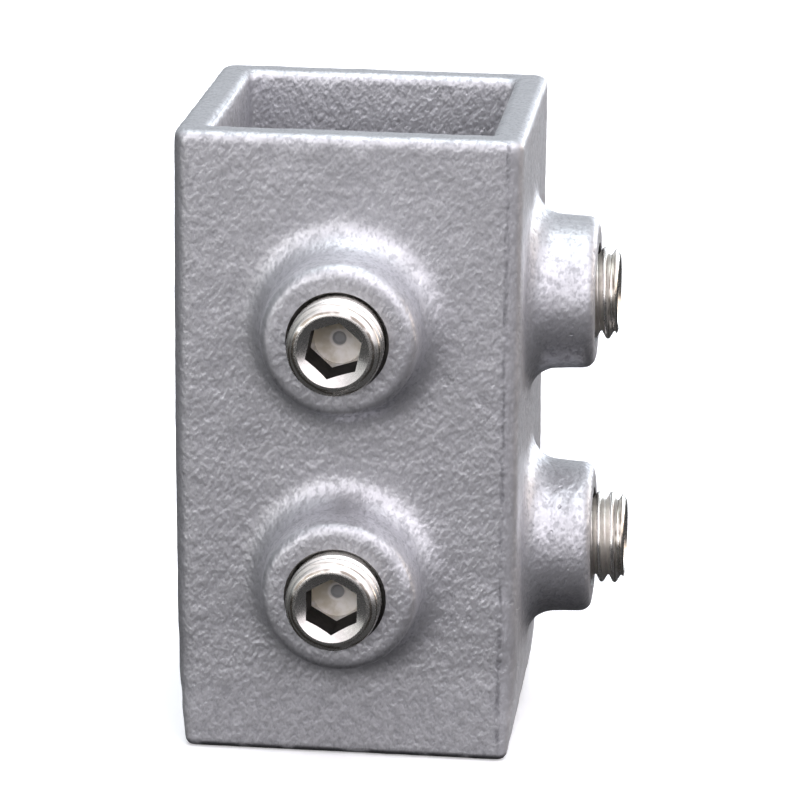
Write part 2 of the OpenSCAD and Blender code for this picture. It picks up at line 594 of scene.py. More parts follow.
@dataclass(frozen=True)
class GalvanisedFinish(Finish):
    """Hot-dip zinc over a sand casting: satin grey, with grain, pits, a scraped corner, painted
    shade underneath and a painted shadow along the lowest edge.
    """

    name: str = "hot_dip_zinc"
    pale: Colour = (0.66, 0.66, 0.685, 1.0)
    dull: Colour = (0.56, 0.56, 0.58, 1.0)
    # A darker zinc for flecks, pits and the scrape, also used as painted shade underneath.
    shade: Colour = (0.33, 0.33, 0.35, 1.0)
    # Near-black for the painted shadow along the lowest edge.
    painted_edge_shadow_colour: Colour = (0.08, 0.08, 0.085, 1.0)
    metal: float = 0.85
    satin: float = 0.42
    grain_cell: Triple = (1.15 * MM, 1.0 * MM, 1.0 * MM)
    grain_lean: Triple = (0.0, -math.pi / 4, 0.0)
    grain_squeeze: Triple = (1.25, 0.92, 0.88)
    grain_depth: float = 0.2 * MM
    worn_grain: float = 0.35
    patch_size: float = 3.5 * MM
    foot: Span = (17.0 * MM, 7.0 * MM)
    rough_heights: Span = (85.0 * MM, 25.0 * MM)
    core_wall: Span = (SLEEVE_HALF - WALL + 0.45 * MM, SLEEVE_HALF - WALL + 0.15 * MM)
    pit_cell: float = 9.0 * MM
    boss_pit_cell: float = 2.9 * MM
    pit_wobble: float = 0.8 * MM
    pit_rim: Span = (0.2, 0.12)
    side_bosses: Span = (SLEEVE_HALF + 1.25 * MM, SLEEVE_HALF + 2.75 * MM)
    # Faces that point down more steeply than this get painted shade.
    painted_shade_slope: Span = (-0.1, -0.75)
    # Heights and breaks of the painted shadow along the lowest edge.
    edge_shadow_heights: Span = (1.3 * MM, 0.7 * MM)
    edge_shadow_break: float = 5.0 * MM
    scrape_inset: float = 2.15 * MM
    scrape_reach: float = 0.5 * MM
    scrape_stray: float = 0.9 * MM
    scrape_cell: Triple = (1.2 * MM, 1.2 * MM, 3.2 * MM)
    scrape_depths: Span = (0.9 * MM, 0.3 * MM)
    worn_depths: Span = (3.2 * MM, 2.0 * MM)

    def dress(self, bench: NodeBench) -> bpy.types.Node:
        """Wires grain, pits, the scraped corner, patches of zinc, and painted shade underneath
        and along the lowest edge.

        Args:
            bench: the material's bench.

        Returns:
            The shader node.
        """
        place = bench.add("TexCoord").outputs["Object"]
        grain = CastGrain().put(bench, Vector=bench.vector("MULTIPLY", place, self.grain_squeeze),
                                Lean=self.grain_lean, Cell=self.grain_cell)
        patches = Mottle().put(bench, Vector=place, Density=1 / self.patch_size)
        inside = self.inside(bench, place)
        pits = self.pits(bench, place)
        scrape, worn = self.corner(bench, place)
        high = bench.axis(place, "Z")
        foot = bench.step(high, *self.foot)
        low = bench.step(high, *self.rough_heights)
        extra = bench.sum([(inside, 0.8), (foot, 0.15), (low, 0.55)])
        coarse = bench.math("ADD", extra, 1.0)
        relief = bench.slide(worn, 1.0, self.worn_grain)
        rough_grain = bench.times(grain.outputs["Height"], bench.times(coarse, relief))
        height = bench.sum([(rough_grain, 1.0), (pits, -0.45), (scrape, -0.12)])
        zinc = bench.blend(patches.outputs["Mask"], self.pale, self.dull)
        flecks = bench.times(grain.outputs["Hollow"], relief)
        # Flecks, pits and the scrape darken the zinc; faces that point down get painted shade.
        dark_spots_and_painted_shade = bench.sum([(flecks, 0.42), (pits, 0.5), (scrape, 0.75),
                             (self.painted_underside_shade(bench), 0.75)])
        # A broken painted shadow runs along the lowest edge, where the casting meets the floor.
        colour = bench.blend(self.painted_edge_shadow(bench, place),
                             bench.blend(dark_spots_and_painted_shade, zinc, self.shade), self.painted_edge_shadow_colour)
        roughness = bench.sum([(patches.outputs["Mask"], 0.06), (grain.outputs["Hollow"], 0.12),
                               (foot, 0.18)])
        return bench.surface(colour, self.metal, bench.math("ADD", roughness, self.satin),
                             height, self.grain_depth)

    def inside(self, bench: NodeBench, place: Socket) -> Socket:
        """Marks the wall of the socket, where the core left a coarser grain."""
        far = bench.math("MAXIMUM", *(bench.math("ABSOLUTE", bench.axis(place, label))
                                      for label in ("X", "Y")))
        return bench.step(far, *self.core_wall)

    def pits(self, bench: NodeBench, place: Socket) -> Socket:
        """Scatters a few small pits, and more of them over the side bosses.

        Args:
            bench: the material's bench.
            place: the point's place.

        Returns:
            The pits' mask.
        """
        wobble = bench.noise(place, 1 / self.pit_wobble)
        bosses = bench.step(bench.axis(place, "X"), *self.side_bosses)
        found = []
        for size, share in ((self.pit_cell, 0.5), (self.boss_pit_cell, bosses)):
            cells = bench.add("TexVoronoi", {"Vector": place, "Scale": 1 / size})
            distance = bench.sum([(cells.outputs["Distance"], 1.0), (wobble, 0.12)])
            found.append((bench.step(distance, *self.pit_rim), share))
        return bench.sum(found)

    def painted_underside_shade(self, bench: NodeBench) -> Socket:
        """Marks the surfaces that face down, which are given painted shade."""
        normal = bench.add("NewGeometry").outputs["Normal"]
        return bench.step(bench.axis(normal, "Z"), *self.painted_shade_slope)

    def painted_edge_shadow(self, bench: NodeBench, place: Socket) -> Socket:
        """Marks a broken line of painted shadow along the lowest edge, where the casting meets
        the floor.

        Args:
            bench: the material's bench.
            place: the point's place.

        Returns:
            The line's mask.
        """
        broken = bench.step(bench.noise(place, 1 / self.edge_shadow_break), 0.34, 0.5)
        edge = bench.step(bench.axis(place, "Z"), *self.edge_shadow_heights)
        return bench.times(edge, broken, 0.85)

    def corner(self, bench: NodeBench, place: Socket) -> tuple[Socket, Socket]:
        """Marks the corner between the two faces with bosses.

        Args:
            bench: the material's bench.
            place: the point's place.

        Returns:
            A broken dark line just inside the corner, and the corner where grain is worn.
        """
        depth = bench.math("ADD", bench.axis(place, "Y"), SLEEVE_HALF)
        cells = bench.vector("DIVIDE", place, self.scrape_cell)
        line = bench.math("MULTIPLY_ADD", bench.noise(cells, 1.7, 1.0), self.scrape_stray,
                          SLEEVE_HALF - self.scrape_inset - self.scrape_stray / 2)
        aside = bench.math("SUBTRACT", bench.axis(place, "X"), line)
        band = bench.step(bench.math("ABSOLUTE", aside), self.scrape_reach, 0.0)
        broken = bench.step(bench.noise(cells, 1.0), 0.34, 0.58)
        scrape = bench.times(band, bench.step(depth, *self.scrape_depths), broken)
        beyond = bench.step(aside, 0.0, 2 * self.scrape_reach)
        return scrape, bench.times(beyond, bench.step(depth, *self.worn_depths))


@dataclass(frozen=True)
class BrightSteelFinish(ScrewFinish):
    """Bright turned steel: fine rings, broken arcs of painted shade for the thread's turns on the
    shoulder, and darker, duller thread roots.
    """

    name: str = "bright_turned_steel"
    bright: Colour = (0.86, 0.835, 0.79, 1.0)
    worn: Colour = (0.74, 0.71, 0.67, 1.0)
    # A dark brown for the thread's roots, also the painted shade of the arcs.
    root_tone_and_painted_arc_shade: Colour = (0.20, 0.165, 0.13, 1.0)
    satin: float = 0.15
    ring_density: float = 9.0
    ring_depth: float = 0.007 * MM
    patch_density: float = 0.8
    thread_radii: Span = (6.9, 6.3)
    thread_heights: Span = (-0.9, -1.5)
    arc_radii: Span = (5.5, 5.8)
    arc_heights: Span = (-2.0, -1.7)
    arc_width: Span = (0.18, 0.06)
    arc_density: float = 1.7

    def dress(self, bench: NodeBench) -> bpy.types.Node:
        """Wires rings, patches, darker thread roots and arcs of painted shade by the piece's
        bench place, in millimetres.

        Args:
            bench: the material's bench.

        Returns:
            The shader node.
        """
        place = self.place(bench)
        rings = ToolMarks().put(bench, Vector=place, Density=self.ring_density)
        patches = Mottle().put(bench, Vector=place, Density=self.patch_density)
        steel = bench.blend(patches.outputs["Mask"], self.bright, self.worn)
        flanks = self.depth_in_thread(bench, place)
        # The roots are made a little darker; the arcs are painted shade.
        marks = bench.sum([(flanks, 0.15), (self.arcs(bench, place), 0.85)])
        colour = bench.blend(marks, steel, self.root_tone_and_painted_arc_shade)
        roughness = bench.sum([(patches.outputs["Mask"], 0.08), (rings.outputs["Height"], 0.12),
                               (flanks, 0.22)])
        return bench.surface(colour, 1.0, bench.math("ADD", roughness, self.satin),
                             rings.outputs["Height"], self.ring_depth)

    def depth_in_thread(self, bench: NodeBench, place: Socket) -> Socket:
        """Marks the roots of the thread, which are made darker and rougher."""
        root = bench.step(bench.radius(place), *self.thread_radii)
        return bench.times(root, bench.step(bench.axis(place, "Z"), *self.thread_heights))

    def arcs(self, bench: NodeBench, place: Socket) -> Socket:
        """Marks thin arcs of painted shade round the outer end, for the thread's turns on the
        shoulder, broken here and there.

        Args:
            bench: the material's bench.
            place: the point's place.

        Returns:
            The arcs' mask.
        """
        height = bench.axis(place, "Z")
        stray = bench.noise(place, 0.35, 1.0)
        row = bench.sum([(height, self.arc_density), (stray, 0.4)])
        ridge = bench.math("PINGPONG", row, 0.5)
        return bench.times(bench.step(ridge, *self.arc_width),
                           bench.step(height, *self.arc_heights),
                           bench.step(bench.radius(place), *self.arc_radii),
                           bench.step(stray, 0.34, 0.46))


@dataclass(frozen=True)
class BroachedShadeFinish(ScrewFinish):
    """The walls of a hexagon socket: dull, near-black as painted shade deep in the socket, and
    scored along the hole by the broach.
    """

    name: str = "broached_steel_painted_shade"
    bare_with_painted_shade: Colour = (0.022, 0.019, 0.017, 1.0)
    stained: Colour = (0.008, 0.007, 0.007, 1.0)
    patch_density: float = 0.9
    score_density: Triple = (9.0, 9.0, 0.4)
    score_depth: float = 0.01 * MM

    def dress(self, bench: NodeBench) -> bpy.types.Node:
        """Wires patches in the painted shade and the broach's scores by the piece's bench place.

        Args:
            bench: the material's bench.

        Returns:
            The shader node.
        """
        place = self.place(bench)
        patches = Mottle().put(bench, Vector=place, Density=self.patch_density)
        scores = bench.noise(bench.vector("MULTIPLY", place, self.score_density), 1.0)
        # Both tones are painted shade for the deep walls of the socket.
        colour = bench.blend(patches.outputs["Mask"], self.bare_with_painted_shade, self.stained)
        return bench.surface(colour, 0.0, 0.7, scores, self.score_depth, shine=0.2)


@dataclass(frozen=True)
class DrilledFinish(ScrewFinish):
    """The floor of a hexagon socket: pale, with khaki stains and a grey centre mark."""

    name: str = "drilled_steel"
    pale: Colour = (1.0, 0.95, 0.89, 1.0)
    tan: Colour = (0.56, 0.48, 0.32, 1.0)
    grey: Colour = (0.48, 0.48, 0.48, 1.0)
    centre: Span = (1.1, 0.95)
    stain_start: Span = (1.2, 1.6)
    stain_density: float = 0.16
    ring_density: float = 5.0
    ring_depth: float = 0.008 * MM

    def dress(self, bench: NodeBench) -> bpy.types.Node:
        """Wires rings, stains and the centre mark by the piece's bench place.

        Args:
            bench: the material's bench.

        Returns:
            The shader node.
        """
        place = self.place(bench)
        rings = ToolMarks().put(bench, Vector=place, Density=self.ring_density)
        patches = Mottle().put(bench, Vector=place, Density=self.stain_density)
        radius = bench.radius(place)
        centre = bench.step(radius, *self.centre)
        clear = bench.step(radius, *self.stain_start)
        stains = bench.times(patches.outputs["Mask"], clear, 0.75)
        stained = bench.blend(stains, self.pale, self.tan)
        return bench.surface(bench.blend(centre, stained, self.grey), 0.15, 0.4,
                             rings.outputs["Height"], self.ring_depth)


@dataclass(frozen=True)
class CutIronShadeFinish(Finish):
    """Bare iron where the holes were tapped after dipping: dark, partly as bare iron and partly
    as painted shade in the gap round each screw, with oily patches.
    """

    name: str = "cut_iron_painted_shade"
    bare_with_painted_shade: Colour = (0.20, 0.195, 0.19, 1.0)
    oily: Colour = (0.07, 0.068, 0.065, 1.0)
    patch_size: float = 2.0 * MM
    grain_cell: Triple = (0.3 * MM, 0.3 * MM, 0.3 * MM)
    grain_depth: float = 0.01 * MM

    def dress(self, bench: NodeBench) -> bpy.types.Node:
        """Wires oily patches and a faint grain.

        Args:
            bench: the material's bench.

        Returns:
            The shader node.
        """
        place = bench.add("TexCoord").outputs["Object"]
        patches = Mottle().put(bench, Vector=place, Density=1 / self.patch_size)
        grain = CastGrain().put(bench, Vector=place, Lean=(0.0, 0.0, 0.0), Cell=self.grain_cell)
        # Both tones are partly the iron's own and partly painted shade of the gap round the
        # screw.
        colour = bench.blend(patches.outputs["Mask"], self.bare_with_painted_shade, self.oily)
        satin = bench.slide(patches.outputs["Mask"], 0.45, 0.3)
        return bench.surface(colour, 0.8, satin, grain.outputs["Height"], self.grain_depth)


@dataclass(frozen=True)
class FloorFinish(Finish):
    """A pale seamless floor that throws little light back up at the object."""

    name: str = "pale_floor"
    pale: Colour = (0.93, 0.93, 0.935, 1.0)
    dim: Colour = (0.05, 0.05, 0.05, 1.0)
    glow: float = 0.3
    patch_density: float = 4.0
    patch_share: float = 0.03

    def dress(self, bench: NodeBench) -> bpy.types.Node:
        """Shows a pale sheet to the eye and a dim one to bounced light.

        Args:
            bench: the material's bench.

        Returns:
            The shader node.
        """
        place = bench.add("TexCoord").outputs["Object"]
        patches = Mottle().put(bench, Vector=place, Density=self.patch_density)
        tone = bench.times(patches.outputs["Mask"], self.patch_share)
        pale = bench.blend(tone, self.pale, self.dim)
        seen = bench.add("LightPath").outputs["Is Camera Ray"]
        matte = bench.add("BsdfDiffuse", {"Color": pale})
        lift = bench.add("Emission", {"Color": pale, "Strength": self.glow})
        sheet = bench.add("AddShader", {0: matte.outputs[0], 1: lift.outputs[0]})
        bounce = bench.add("BsdfDiffuse", {"Color": self.dim})
        return bench.add("MixShader", {0: seen, 1: bounce.outputs[0], 2: sheet.outputs[0]})


@dataclass(frozen=True)
class ScrewPlace:
    """Where one set screw sits: the name of its place, its face and its turn in the hole."""

    label: str
    face: Face
    turn: float

    @property
    def node(self) -> str:
        """The screw's CAD node."""
        return self.label + "_set_screw"

    @property
    def body(self) -> str:
        """The body that the screw moves with."""
        return self.label + "_screw"

    def outward(self) -> Vector:
        """The unit vector out of the face."""
        return (self.face.turn() @ Vector((0.0, 0.0, 1.0, 0.0))).to_3d()

    def reach(self, node: str) -> float:
        """How far a CAD node reaches along the outward direction.

        Args:
            node: the CAD node's name.

        Returns:
            The distance from the origin.
        """
        low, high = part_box(node)
        out = self.outward()
        return max(low.dot(out), high.dot(out))

    def axis_point(self) -> Vector:
        """A point on the screw's axis, level with the sleeve's own axis.

        Returns:
            The point.
        """
        low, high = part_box(self.node)
        centre = (low + high) / 2
        return centre - self.outward() * centre.dot(self.outward())

    def stand(self) -> float:
        """How far the screw stands out of its boss."""
        return self.reach(self.node) - self.reach(SLEEVE_NODE)

    def bench_to_place(self) -> Matrix:
        """The move from the bench frame to the screw's place on the sleeve.

        Returns:
            The move.
        """
        end = self.axis_point() + self.outward() * self.reach(self.node)
        spin = Matrix.Rotation(math.radians(self.turn), 4, UP)
        return Matrix.Translation(end) @ self.face.turn() @ spin


PLACES = (
    ScrewPlace("front_upper", Face.FRONT, 18.0),
    ScrewPlace("front_lower", Face.FRONT, 30.0),
    ScrewPlace("side_upper", Face.SIDE, 54.0),
    ScrewPlace("side_lower", Face.SIDE, 35.0),
)


@dataclass
class Thread:
    """A right-hand metric thread, as its own helical rod."""

    pitch: float = 2.0 * MM
    crest_round: float = 0.3 * MM
    root_round: float = 0.25 * MM
    flank_angle: float = math.radians(30)
    arcs: int = 3
    first_crest: float = -0.65 * MM
    steps: int = 64

    def depth(self) -> float:
        """How deep the groove is."""
        sharp = self.pitch / 2 / math.tan(self.flank_angle)
        return sharp - (self.crest_round + self.root_round) * (1 / math.sin(self.flank_angle) - 1)

    def tooth(self, major: float) -> Outline:
        """One pitch of the thread's outline, from the middle of one root to the next.

        Args:
            major: the radius over the crests.

        Returns:
            (radius, height) points, with a round crest halfway up and half a root at each end.
        """
        swing = math.pi / 2 - self.flank_angle
        turns = [swing * i / self.arcs for i in range(self.arcs + 1)]
        root = [(major - self.depth() + self.root_round * (1 - math.cos(turn)),
                 self.pitch / 2 - self.root_round * math.sin(turn)) for turn in turns]
        crest = [(major - self.crest_round * (1 - math.cos(turn)),
                  self.crest_round * math.sin(turn)) for turn in reversed(turns)]
        half = root + crest
        return [(r, -h) for r, h in half] + [(r, h) for r, h in reversed(half[:-1])]

    def rod(self, name: str, major: float, low: float, high: float) -> Piece:
        """Models a closed helical rod that covers a stretch of the axis.

        Args:
            name: the rod's name.
            major: the radius over the crests.
            low: the lowest height that the full thread covers.
            high: the highest height that it covers.

        Returns:
            The rod, with a crest at first_crest above the bench's X axis.
        """
        below = math.ceil((self.first_crest - low) / self.pitch + 1)
        above = math.ceil((high - self.first_crest) / self.pitch + 1)
        start = self.first_crest - below * self.pitch
        rod = Workbench.line(name, [(r, h + start) for r, h in self.tooth(major)])
        Workbench.modify(rod, "SCREW", axis=UP, angle=math.tau, screw_offset=self.pitch,
                         iterations=below + above, steps=self.steps, render_steps=self.steps)
        Workbench.edit(rod)
        bpy.ops.mesh.remove_doubles(threshold=WELD)
        bpy.ops.mesh.select_all(action="DESELECT")
        # The open rim at each end is drawn together to one point, which closes the rod.
        bpy.ops.mesh.select_mode(type="EDGE")
        bpy.ops.mesh.select_non_manifold(extend=False)
        bpy.ops.mesh.extrude_edges_move()
        bpy.ops.mesh.merge(type="COLLAPSE")
        bpy.ops.object.mode_set(mode="OBJECT")
        Workbench.tidy(rod)
        return rod


@dataclass
class SetScrew:
    """A hexagon-socket set screw with a dished end, a round shoulder and a cup point."""

    thread: Thread = field(default_factory=Thread)
    finish: BrightSteelFinish = field(default_factory=BrightSteelFinish)
    socket_finish: BroachedShadeFinish = field(default_factory=BroachedShadeFinish)
    floor_finish: DrilledFinish = field(default_factory=DrilledFinish)
    dish_finish: BrightSteelFinish = BrightSteelFinish(
        name="turned_dish", bright=(0.80, 0.775, 0.735, 1.0), worn=(0.66, 0.63, 0.60, 1.0))
    hex_flats: float = 7.5 * MM
    hex_depth: float = 7.2 * MM
    pilot_depth: float = 0.4 * MM
    pilot_ledge: float = 0.1 * MM
    centre_radius: float = 1.15 * MM
    centre_depth: float = 0.4 * MM
    centre_taper: float = 0.6
    dish_radius: float = 5.3 * MM
    shoulder_radius: float = 1.7 * MM
    shoulder_steps: int = 8
    cup_radius: float = 4.0 * MM
    cup_depth: float = 1.6 * MM
    tip_bevel: float = 1.6 * MM
    skim: float = 0.02 * MM
    over: float = 1.0 * MM
    dish_slope: float = math.tan(math.radians(30))
    floor_slope: float = math.tan(math.radians(12))
    crease_angle: float = 25.0

    def __post_init__(self) -> None:
        """Takes the length and the thread's size from the first screw's CAD node."""
        low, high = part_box(PLACES[0].node)
        self.length = high.y - low.y
        self.major = (high.x - low.x) / 2

    def blank(self) -> Piece:
        """Turns the screw's outer form, a hair wider than the thread that crosses it.

        Returns:
            The blank.
        """
        radius = self.major + self.skim
        outline = [(0.0, -self.length), (radius - self.tip_bevel, -self.length),
                   (radius, self.tip_bevel - self.length)]
        centre = radius - self.shoulder_radius
        for i in range(self.shoulder_steps + 1):
            angle = math.pi / 2 * i / self.shoulder_steps
            outline.append((centre + self.shoulder_radius * math.cos(angle),
                            self.shoulder_radius * (math.sin(angle) - 1)))
        return Workbench.turned("screw_blank", outline + [(0.0, 0.0)])

    def dish(self) -> Piece:
        """Turns the cutter for the dished outer end."""
        wide = self.dish_radius + self.over
        return Workbench.turned("dish", [
            (0.0, -self.dish_radius * self.dish_slope),
            (wide, self.over * self.dish_slope),
            (wide, 2 * self.over), (0.0, 2 * self.over)])

    def hexagon(self) -> Piece:
        """Models the cutter for the hexagon socket, with a corner along the bench's X axis.

        Returns:
            The cutter, with the walls and the floor in finishes of their own.
        """
        Workbench.clear()
        height = self.hex_depth + self.over
        bpy.ops.mesh.primitive_cylinder_add(
            vertices=6, radius=self.hex_flats / math.sqrt(3), depth=height,
            location=(0.0, 0.0, height / 2 - self.hex_depth), rotation=(0.0, 0.0, math.pi / 6))
        cutter = bpy.context.object
        bpy.ops.object.transform_apply(location=True, rotation=True, scale=True)
        # The walls take a near-black finish of painted shade.
        self.socket_finish.coat(cutter)
        cutter.data.materials.append(self.floor_finish.material())
        # The cutter's lower face leaves the socket's floor.
        for face in cutter.data.polygons:
            face.material_index = int(face.normal.z < -0.5)
        return cutter

    def pilot(self) -> Piece:
        """Turns the cutter for the pilot drilling, its shallow cone and its centre mark.

        Returns:
            The cutter.
        """
        radius = self.hex_flats / 2 - self.pilot_ledge
        foot = -self.hex_depth - self.pilot_depth
        brink = foot - (radius - self.centre_radius) * self.floor_slope
        return Workbench.turned("pilot", [
            (0.0, brink - self.centre_depth),
            (self.centre_radius * self.centre_taper, brink - self.centre_depth),
            (self.centre_radius, brink), (radius, foot),
            (radius, foot + self.over), (0.0, foot + self.over)])

    def cup(self) -> Piece:
        """Turns the cutter for the cup at the clamping end.

        Returns:
            The cutter.
        """
        slope = self.cup_depth / self.cup_radius
        wide = self.cup_radius + self.over
        return Workbench.turned("cup", [
            (0.0, -self.length - 2 * self.over), (wide, -self.length - 2 * self.over),
            (wide, -self.length - self.over * slope), (0.0, self.cup_depth - self.length)])

    def model(self) -> Piece:
        """Models one whole screw on the bench.

        Returns:
            The screw, which the four others are copied from.
        """
        screw = self.blank()
        rod = self.thread.rod("screw_thread", self.major, -self.length, 0.0)
        dish, pilot, cup = self.dish(), self.pilot(), self.cup()
        for piece in (screw, rod, cup):
            self.finish.coat(piece)
        self.dish_finish.coat(dish)
        self.floor_finish.coat(pilot)
        Workbench.combine(screw, "INTERSECT", rod)
        for cutter in (dish, self.hexagon(), pilot, cup):
            Workbench.combine(screw, "DIFFERENCE", cutter)
        Workbench.tidy(screw)
        Workbench.crease(screw, self.crease_angle)
        self.mark_place(screw)
        return screw

    def mark_place(self, screw: Piece) -> None:
        """Keeps each point's bench place, in millimetres, for the finish to read.

        Args:
            screw: the screw, still on the bench.
        """
        layer = screw.data.attributes.new(ScrewFinish.place_name, "FLOAT_VECTOR", "POINT")
        values = [value / MM for point in screw.data.vertices for value in point.co]
        layer.data.foreach_set("vector", values)

    def fit(self, pattern: Piece, place: ScrewPlace) -> Piece:
        """Copies the screw into its hole and lets it move with its body.

        Args:
            pattern: the screw on the bench.
            place: where the copy goes.

        Returns:
            The copy.
        """
        name = place.label + "_socket_screw"
        screw = Workbench.place(Workbench.copy(pattern, name), place.bench_to_place())
        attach(screw, place.body)
        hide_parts(place.node)
        return screw


@dataclass
class TappedHole:
    """The cutter for one tapped and countersunk hole, in step with its screw's thread."""

    thread: Thread
    place: ScrewPlace
    depth: float
    major: float
    finish: CutIronShadeFinish = field(default_factory=CutIronShadeFinish)
    gap: float = 0.05 * MM
    mouth_radius: float = 7.6 * MM
    mouth_depth: float = 1.2 * MM
    over: float = 2.0 * MM

    def cutter(self) -> Piece:
        """Models the cutter at its place on the sleeve.

        Returns:
            The cutter.
        """
        face = -self.place.stand()
        major = self.major + self.gap
        tap = self.thread.rod("tap", major, face - self.depth - self.over, face + self.over)
        run = self.mouth_radius - major
        mouth = Workbench.turned("countersink", [
            (0.0, face - self.mouth_depth - self.over),
            (major - run * self.over / self.mouth_depth, face - self.mouth_depth - self.over),
            (self.mouth_radius + run * self.over / self.mouth_depth, face + self.over),
            (0.0, face + self.over)])
        Workbench.combine(tap, "UNION", mouth)
        Workbench.tidy(tap)
        # The hole and its countersink take the dark iron, which is partly painted shade.
        self.finish.coat(tap)
        return Workbench.place(tap, self.place.bench_to_place())


@dataclass
class CastSleeve:
    """The casting: a rough body with slightly uneven walls, then four holes cut in it."""

    node: str = SLEEVE_NODE
    body: str = "sleeve"
    finish: GalvanisedFinish = field(default_factory=GalvanisedFinish)
    thread: Thread = field(default_factory=Thread)
    plug_radius: float = 8.3 * MM
    voxel: float = 0.5 * MM
    smoothing: int = 2
    skin: Span = (21.6 * MM, 24.0 * MM)
    boss_foot: Span = (27.0 * MM, 26.0 * MM)
    lean: float = 0.45 * MM
    lean_heights: Span = (52.0 * MM, 14.0 * MM)
    foot_fill: float = 0.6 * MM
    foot_height: float = 12.5 * MM
    foot_reach: Span = (7.0 * MM, 4.0 * MM)
    foot_blend: int = 40
    swell: Span = (8.0 * MM, 0.22 * MM)
    lumps: Span = (1.8 * MM, 0.1 * MM)
    triangles: int = 148_000
    crease_angle: float = 42.0

    def hole_depth(self, place: ScrewPlace) -> float:
        """The length of a hole, from the boss's face to the socket."""
        return place.reach(self.node) - SLEEVE_HALF + WALL

    def plug(self, place: ScrewPlace) -> Piece:
        """Fills one hole, since the casting is solid there until it is drilled.

        Args:
            place: the screw's place.

        Returns:
            The plug, at its place on the sleeve.
        """
        Workbench.clear()
        depth = self.hole_depth(place)
        bpy.ops.mesh.primitive_cylinder_add(
            vertices=ROUND_STEPS, radius=self.plug_radius, depth=depth,
            location=(0.0, 0.0, -place.stand() - depth / 2))
        return Workbench.place(bpy.context.object,
                               place.bench_to_place() @ bpy.context.object.matrix_world)

    @staticmethod
    def ramp(value: float, start: float, end: float) -> float:
        """Rises from 0 to 1 as a value goes from start to end."""
        return min(1.0, max(0.0, (value - start) / (end - start)))

    def weigh(self, body: Piece, label: str, share: Callable[[Vector], float]) -> str:
        """Gives each point its share in a new vertex group.

        Args:
            body: the casting.
            label: the group's name.
            share: a point's share, from its place.

        Returns:
            The group's name.
        """
        group = body.vertex_groups.new(name=label)
        for point in body.data.vertices:
            weight = share(point.co)
            if weight > 0.0:
                group.add([point.index], weight, "REPLACE")
        return label

    def leaning(self, point: Vector) -> float:
        """How fully a point leans: the outer walls do, and more towards the foot."""
        wall = self.ramp(max(abs(point.x), abs(point.y)), *self.skin)
        return wall * self.ramp(point.z, *self.lean_heights)

    def front_foot(self, point: Vector) -> float:
        """How fully a point is filled out, on the front wall below where the foot tapers."""
        return self.ramp(-point.y, *self.skin) * self.ramp(point.z, self.foot_height, 0.0)

    def round_foot(self, point: Vector) -> float:
        """How fully a point is smoothed, on the walls near where the foot's taper begins."""
        far = max(abs(point.x), abs(point.y))
        near = self.ramp(abs(point.z - self.foot_height), *self.foot_reach)
        return near * self.ramp(far, *self.skin) * self.ramp(far, *self.boss_foot)

    def settle(self, body: Piece) -> None:
        """Leans the lower walls a little to the right, and softens how the foot tapers.

        Args:
            body: the casting.
        """
        for label, axis, amount, share in (("lean", "X", self.lean, self.leaning),
                                           ("foot_fill", "Y", -self.foot_fill, self.front_foot)):
            Workbench.modify(body, "DISPLACE", vertex_group=self.weigh(body, label, share),
                             direction=axis, strength=amount, mid_level=0.0)
        Workbench.modify(body, "SMOOTH", factor=0.5, iterations=self.foot_blend,
                         vertex_group=self.weigh(body, "round_foot", self.round_foot))

    def rough(self) -> Piece:
        """Models the casting as it leaves the mould.

        Returns:
            The casting, with its holes still solid.
        """
        shell = Workbench.copy(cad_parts[self.node], "casting_shell")
        Workbench.tidy(shell)
        body = Workbench.join("casting", shell, *[self.plug(place) for place in PLACES])
        Workbench.modify(body, "REMESH", mode="VOXEL", voxel_size=self.voxel)
        Workbench.modify(body, "SMOOTH", factor=0.5, iterations=self.smoothing)
        self.settle(body)
        for label, (size, depth) in {"swell": self.swell, "lumps": self.lumps}.items():
            clouds = bpy.data.textures.new(label, "CLOUDS")
            clouds.noise_scale = size
            clouds.noise_basis = "IMPROVED_PERLIN"
            clouds.noise_depth = 1
            Workbench.modify(body, "DISPLACE", texture=clouds, texture_coords="LOCAL",
                             strength=depth, mid_level=0.5)
        count = sum(len(face.vertices) - 2 for face in body.data.polygons)
        Workbench.modify(body, "DECIMATE", ratio=min(1.0, self.triangles / count))
        return body

    def build(self, major: float) -> Piece:
        """Casts the body, taps its holes, dresses it and seats it in the frame.

        Args:
            major: the radius over the set screws' threads.

        Returns:
            The finished casting.
        """
        body = self.rough()
        self.finish.coat(body)
        cutters = [TappedHole(self.thread, place, self.hole_depth(place), major).cutter()
                   for place in PLACES]
        Workbench.combine(body, "DIFFERENCE", Workbench.join("taps", *cutters))
        Workbench.crease(body, self.crease_angle)
        body.name = body.data.name = "galvanised_sleeve"
        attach(body, self.body)
        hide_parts(self.node)
        return body


@dataclass(frozen=True)
class SoftLight:
    """A square soft light that looks at the middle of the object."""

    name: str
    place: Triple
    size: float
    power: float
    colour: Triple

    def hang(self, target: Vector) -> Piece:
        """Hangs the light and turns it to the target.

        Args:
            target: the point that it looks at.

        Returns:
            The light.
        """
        Workbench.clear()
        bpy.ops.object.light_add(type="AREA", location=self.place)
        lamp = bpy.context.object
        lamp.name = self.name
        lamp.data.shape = "SQUARE"
        lamp.data.size = self.size
        lamp.data.energy = self.power
        lamp.data.color = self.colour
        lamp.rotation_euler = (target - lamp.location).to_track_quat("-Z", "Y").to_euler()
        return lamp


@dataclass(frozen=True)
class SoftGlow:
    """A patch of the dome that glows, or is dimmer if below zero, and fades out at its edge."""

    azimuth: float
    elevation: float
    spread: float
    colour: Triple


